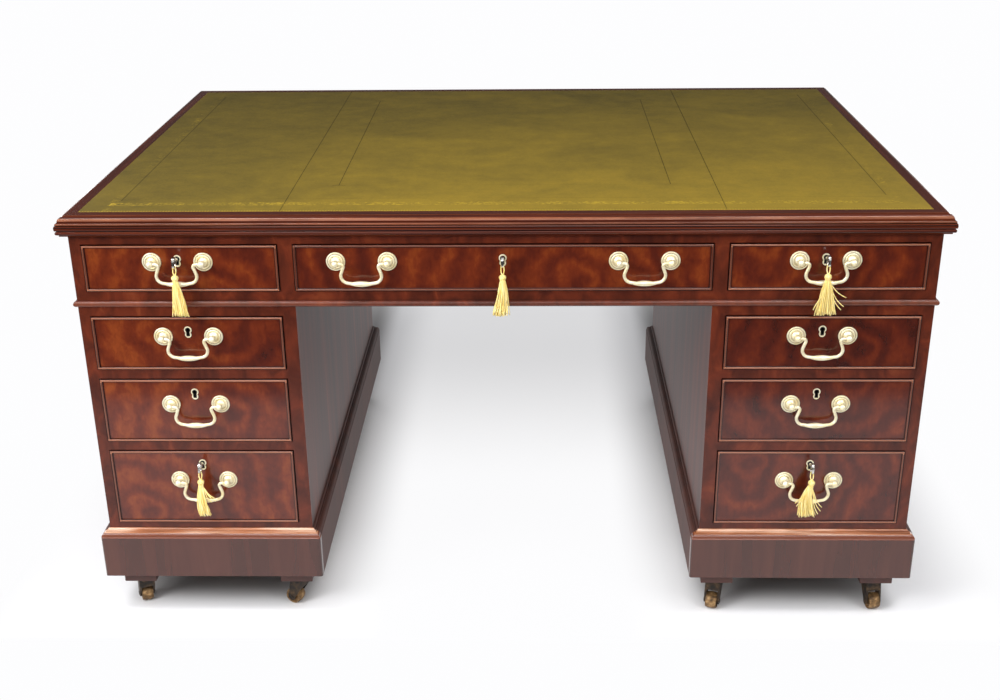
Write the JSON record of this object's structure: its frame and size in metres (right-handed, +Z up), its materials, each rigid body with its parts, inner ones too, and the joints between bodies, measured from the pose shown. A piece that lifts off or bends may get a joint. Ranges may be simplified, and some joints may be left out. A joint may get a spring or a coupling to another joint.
{
  "type": "pedestal desk",
  "caption": "Mahogany pedestal desk with a leather-lined top, frieze and pedestal drawers with swan-neck brass handles, keys with tassels, moulded plinths and castors.",
  "frame": {"origin": "on the floor under the middle of the desk's whole box, tassels included", "axes": "+X to the right of a person sitting outside the drawer side looking at it, +Z up, drawer fronts facing -Y"},
  "size_m": [1.52, 1.0756, 0.8],
  "materials": {
    "mahogany": "french polished",
    "leather": "waxed, worn",
    "brass": "lacquered",
    "steel": "polished",
    "silk": "silk thread",
    "iron": "blackened",
    "castor_brass": "worn"
  },
  "bodies": {
    "desk": {"top_board": "mahogany", "leather_skivers": "leather", "frieze_carcase": "mahogany", "left_pedestal_carcase": "mahogany", "right_pedestal_carcase": "mahogany", "plinths": "mahogany"},
    "left_frieze_slider": {"left_frieze_drawer": "mahogany", "left_frieze_brasses": "brass", "left_frieze_tassel": "silk"},
    "left_frieze_bail_swing": {"left_frieze_bail": "brass"},
    "left_frieze_key_turner": {"left_frieze_key": "steel"},
    "centre_frieze_slider": {"centre_frieze_drawer": "mahogany", "centre_frieze_brasses": "brass", "centre_frieze_tassel": "silk"},
    "centre_frieze_left_bail_swing": {"centre_frieze_left_bail": "brass"},
    "centre_frieze_right_bail_swing": {"centre_frieze_right_bail": "brass"},
    "centre_frieze_key_turner": {"centre_frieze_key": "steel"},
    "right_frieze_slider": {"right_frieze_drawer": "mahogany", "right_frieze_brasses": "brass", "right_frieze_tassel": "silk"},
    "right_frieze_bail_swing": {"right_frieze_bail": "brass"},
    "right_frieze_key_turner": {"right_frieze_key": "steel"},
    "left_upper_slider": {"left_upper_drawer": "mahogany", "left_upper_brasses": "brass"},
    "left_upper_bail_swing": {"left_upper_bail": "brass"},
    "left_middle_slider": {"left_middle_drawer": "mahogany", "left_middle_brasses": "brass"},
    "left_middle_bail_swing": {"left_middle_bail": "brass"},
    "left_lower_slider": {"left_lower_drawer": "mahogany", "left_lower_brasses": "brass", "left_lower_tassel": "silk"},
    "left_lower_bail_swing": {"left_lower_bail": "brass"},
    "left_lower_key_turner": {"left_lower_key": "steel"},
    "right_upper_slider": {"right_upper_drawer": "mahogany", "right_upper_brasses": "brass"},
    "right_upper_bail_swing": {"right_upper_bail": "brass"},
    "right_middle_slider": {"right_middle_drawer": "mahogany", "right_middle_brasses": "brass"},
    "right_middle_bail_swing": {"right_middle_bail": "brass"},
    "right_lower_slider": {"right_lower_drawer": "mahogany", "right_lower_brasses": "brass", "right_lower_tassel": "silk"},
    "right_lower_bail_swing": {"right_lower_bail": "brass"},
    "right_lower_key_turner": {"right_lower_key": "steel"},
    "left_front_outer_swivel_horn": {"left_front_outer_castor_horn": "iron"},
    "left_front_outer_roller": {"left_front_outer_castor_wheel": "castor_brass"},
    "left_front_inner_swivel_horn": {"left_front_inner_castor_horn": "iron"},
    "left_front_inner_roller": {"left_front_inner_castor_wheel": "castor_brass"},
    "right_front_inner_swivel_horn": {"right_front_inner_castor_horn": "iron"},
    "right_front_inner_roller": {"right_front_inner_castor_wheel": "castor_brass"},
    "right_front_outer_swivel_horn": {"right_front_outer_castor_horn": "iron"},
    "right_front_outer_roller": {"right_front_outer_castor_wheel": "castor_brass"},
    "left_back_outer_swivel_horn": {"left_back_outer_castor_horn": "iron"},
    "left_back_outer_roller": {"left_back_outer_castor_wheel": "castor_brass"},
    "left_back_inner_swivel_horn": {"left_back_inner_castor_horn": "iron"},
    "left_back_inner_roller": {"left_back_inner_castor_wheel": "castor_brass"},
    "right_back_inner_swivel_horn": {"right_back_inner_castor_horn": "iron"},
    "right_back_inner_roller": {"right_back_inner_castor_wheel": "castor_brass"},
    "right_back_outer_swivel_horn": {"right_back_outer_castor_horn": "iron"},
    "right_back_outer_roller": {"right_back_outer_castor_wheel": "castor_brass"}
  },
  "joints": [
    {"name": "left_frieze_drawer_slide", "type": "slide", "parent": "desk", "child": "left_frieze_slider", "axis": [0, -1, 0], "range_m": [0, 0.45]},
    {"name": "centre_frieze_drawer_slide", "type": "slide", "parent": "desk", "child": "centre_frieze_slider", "axis": [0, -1, 0], "range_m": [0, 0.45]},
    {"name": "right_frieze_drawer_slide", "type": "slide", "parent": "desk", "child": "right_frieze_slider", "axis": [0, -1, 0], "range_m": [0, 0.45]},
    {"name": "left_upper_drawer_slide", "type": "slide", "parent": "desk", "child": "left_upper_slider", "axis": [0, -1, 0], "range_m": [0, 0.45]},
    {"name": "left_middle_drawer_slide", "type": "slide", "parent": "desk", "child": "left_middle_slider", "axis": [0, -1, 0], "range_m": [0, 0.45]},
    {"name": "left_lower_drawer_slide", "type": "slide", "parent": "desk", "child": "left_lower_slider", "axis": [0, -1, 0], "range_m": [0, 0.45]},
    {"name": "right_upper_drawer_slide", "type": "slide", "parent": "desk", "child": "right_upper_slider", "axis": [0, -1, 0], "range_m": [0, 0.45]},
    {"name": "right_middle_drawer_slide", "type": "slide", "parent": "desk", "child": "right_middle_slider", "axis": [0, -1, 0], "range_m": [0, 0.45]},
    {"name": "right_lower_drawer_slide", "type": "slide", "parent": "desk", "child": "right_lower_slider", "axis": [0, -1, 0], "range_m": [0, 0.45]},
    {"name": "left_frieze_bail_lift", "type": "hinge", "parent": "left_frieze_slider", "child": "left_frieze_bail_swing", "pos_m": [-0.5595, -0.52025, 0.716], "axis": [-1, 0, 0], "range_deg": [0, 90], "deforming": ["left_frieze_tassel"]},
    {"name": "centre_frieze_left_bail_lift", "type": "hinge", "parent": "centre_frieze_slider", "child": "centre_frieze_left_bail_swing", "pos_m": [-0.242, -0.52025, 0.716], "axis": [-1, 0, 0], "range_deg": [0, 90]},
    {"name": "centre_frieze_right_bail_lift", "type": "hinge", "parent": "centre_frieze_slider", "child": "centre_frieze_right_bail_swing", "pos_m": [0.242, -0.52025, 0.716], "axis": [-1, 0, 0], "range_deg": [0, 90]},
    {"name": "right_frieze_bail_lift", "type": "hinge", "parent": "right_frieze_slider", "child": "right_frieze_bail_swing", "pos_m": [0.5495, -0.52025, 0.716], "axis": [-1, 0, 0], "range_deg": [0, 90], "deforming": ["right_frieze_tassel"]},
    {"name": "left_upper_bail_lift", "type": "hinge", "parent": "left_upper_slider", "child": "left_upper_bail_swing", "pos_m": [-0.5545, -0.52025, 0.578], "axis": [-1, 0, 0], "range_deg": [0, 90]},
    {"name": "left_middle_bail_lift", "type": "hinge", "parent": "left_middle_slider", "child": "left_middle_bail_swing", "pos_m": [-0.5545, -0.52025, 0.447], "axis": [-1, 0, 0], "range_deg": [0, 90]},
    {"name": "left_lower_bail_lift", "type": "hinge", "parent": "left_lower_slider", "child": "left_lower_bail_swing", "pos_m": [-0.5545, -0.52025, 0.2935], "axis": [-1, 0, 0], "range_deg": [0, 90], "deforming": ["left_lower_tassel"]},
    {"name": "right_upper_bail_lift", "type": "hinge", "parent": "right_upper_slider", "child": "right_upper_bail_swing", "pos_m": [0.5545, -0.52025, 0.578], "axis": [-1, 0, 0], "range_deg": [0, 90]},
    {"name": "right_middle_bail_lift", "type": "hinge", "parent": "right_middle_slider", "child": "right_middle_bail_swing", "pos_m": [0.5545, -0.52025, 0.447], "axis": [-1, 0, 0], "range_deg": [0, 90]},
    {"name": "right_lower_bail_lift", "type": "hinge", "parent": "right_lower_slider", "child": "right_lower_bail_swing", "pos_m": [0.5545, -0.52025, 0.2935], "axis": [-1, 0, 0], "range_deg": [0, 90], "deforming": ["right_lower_tassel"]},
    {"name": "left_frieze_key_turn", "type": "hinge", "parent": "left_frieze_slider", "child": "left_frieze_key_turner", "pos_m": [-0.5595, -0.50525, 0.7215], "axis": [0, -1, 0], "range_deg": [0, 360]},
    {"name": "centre_frieze_key_turn", "type": "hinge", "parent": "centre_frieze_slider", "child": "centre_frieze_key_turner", "pos_m": [0, -0.50525, 0.7215], "axis": [0, -1, 0], "range_deg": [0, 360]},
    {"name": "right_frieze_key_turn", "type": "hinge", "parent": "right_frieze_slider", "child": "right_frieze_key_turner", "pos_m": [0.5495, -0.50525, 0.7215], "axis": [0, -1, 0], "range_deg": [0, 360]},
    {"name": "left_lower_key_turn", "type": "hinge", "parent": "left_lower_slider", "child": "left_lower_key_turner", "pos_m": [-0.5545, -0.50525, 0.328], "axis": [0, -1, 0], "range_deg": [0, 360]},
    {"name": "right_lower_key_turn", "type": "hinge", "parent": "right_lower_slider", "child": "right_lower_key_turner", "pos_m": [0.5545, -0.50525, 0.328], "axis": [0, -1, 0], "range_deg": [0, 360]},
    {"name": "left_front_outer_castor_swivel", "type": "hinge", "parent": "desk", "child": "left_front_outer_swivel_horn", "pos_m": [-0.7025, -0.46475, 0.066], "axis": [0, 0, 1], "continuous": true},
    {"name": "left_front_inner_castor_swivel", "type": "hinge", "parent": "desk", "child": "left_front_inner_swivel_horn", "pos_m": [-0.4015, -0.46475, 0.066], "axis": [0, 0, 1], "continuous": true},
    {"name": "right_front_inner_castor_swivel", "type": "hinge", "parent": "desk", "child": "right_front_inner_swivel_horn", "pos_m": [0.4015, -0.46475, 0.066], "axis": [0, 0, 1], "continuous": true},
    {"name": "right_front_outer_castor_swivel", "type": "hinge", "parent": "desk", "child": "right_front_outer_swivel_horn", "pos_m": [0.7025, -0.46475, 0.066], "axis": [0, 0, 1], "continuous": true},
    {"name": "left_back_outer_castor_swivel", "type": "hinge", "parent": "desk", "child": "left_back_outer_swivel_horn", "pos_m": [-0.7025, 0.48025, 0.066], "axis": [0, 0, 1], "continuous": true},
    {"name": "left_back_inner_castor_swivel", "type": "hinge", "parent": "desk", "child": "left_back_inner_swivel_horn", "pos_m": [-0.4015, 0.48025, 0.066], "axis": [0, 0, 1], "continuous": true},
    {"name": "right_back_inner_castor_swivel", "type": "hinge", "parent": "desk", "child": "right_back_inner_swivel_horn", "pos_m": [0.4015, 0.48025, 0.066], "axis": [0, 0, 1], "continuous": true},
    {"name": "right_back_outer_castor_swivel", "type": "hinge", "parent": "desk", "child": "right_back_outer_swivel_horn", "pos_m": [0.7025, 0.48025, 0.066], "axis": [0, 0, 1], "continuous": true},
    {"name": "left_front_outer_castor_roll", "type": "hinge", "parent": "left_front_outer_swivel_horn", "child": "left_front_outer_roller", "pos_m": [-0.70757, -0.45387, 0.0165], "axis": [0.9063, 0.4226, 0], "continuous": true},
    {"name": "left_front_inner_castor_roll", "type": "hinge", "parent": "left_front_inner_swivel_horn", "child": "left_front_inner_roller", "pos_m": [-0.41238, -0.45968, 0.0165], "axis": [0.4226, 0.9063, 0], "continuous": true},
    {"name": "right_front_inner_castor_roll", "type": "hinge", "parent": "right_front_inner_swivel_horn", "child": "right_front_inner_roller", "pos_m": [0.3974, -0.47603, 0.0165], "axis": [-0.9397, 0.342, 0], "continuous": true},
    {"name": "right_front_outer_castor_roll", "type": "hinge", "parent": "right_front_outer_swivel_horn", "child": "right_front_outer_roller", "pos_m": [0.70458, -0.47657, 0.0165], "axis": [-0.9848, -0.1736, 0], "continuous": true},
    {"name": "left_back_outer_castor_roll", "type": "hinge", "parent": "left_back_outer_swivel_horn", "child": "left_back_outer_roller", "pos_m": [-0.7085, 0.49064, 0.0165], "axis": [0.866, 0.5, 0], "continuous": true},
    {"name": "left_back_inner_castor_roll", "type": "hinge", "parent": "left_back_inner_swivel_horn", "child": "left_back_inner_roller", "pos_m": [-0.39379, 0.48944, 0.0165], "axis": [0.766, -0.6428, 0], "continuous": true},
    {"name": "right_back_inner_castor_roll", "type": "hinge", "parent": "right_back_inner_swivel_horn", "child": "right_back_inner_roller", "pos_m": [0.39839, 0.49184, 0.0165], "axis": [0.9659, 0.2588, 0], "continuous": true},
    {"name": "right_back_outer_castor_roll", "type": "hinge", "parent": "right_back_outer_swivel_horn", "child": "right_back_outer_roller", "pos_m": [0.69122, 0.48435, 0.0165], "axis": [0.342, 0.9397, 0], "continuous": true}
  ]
}
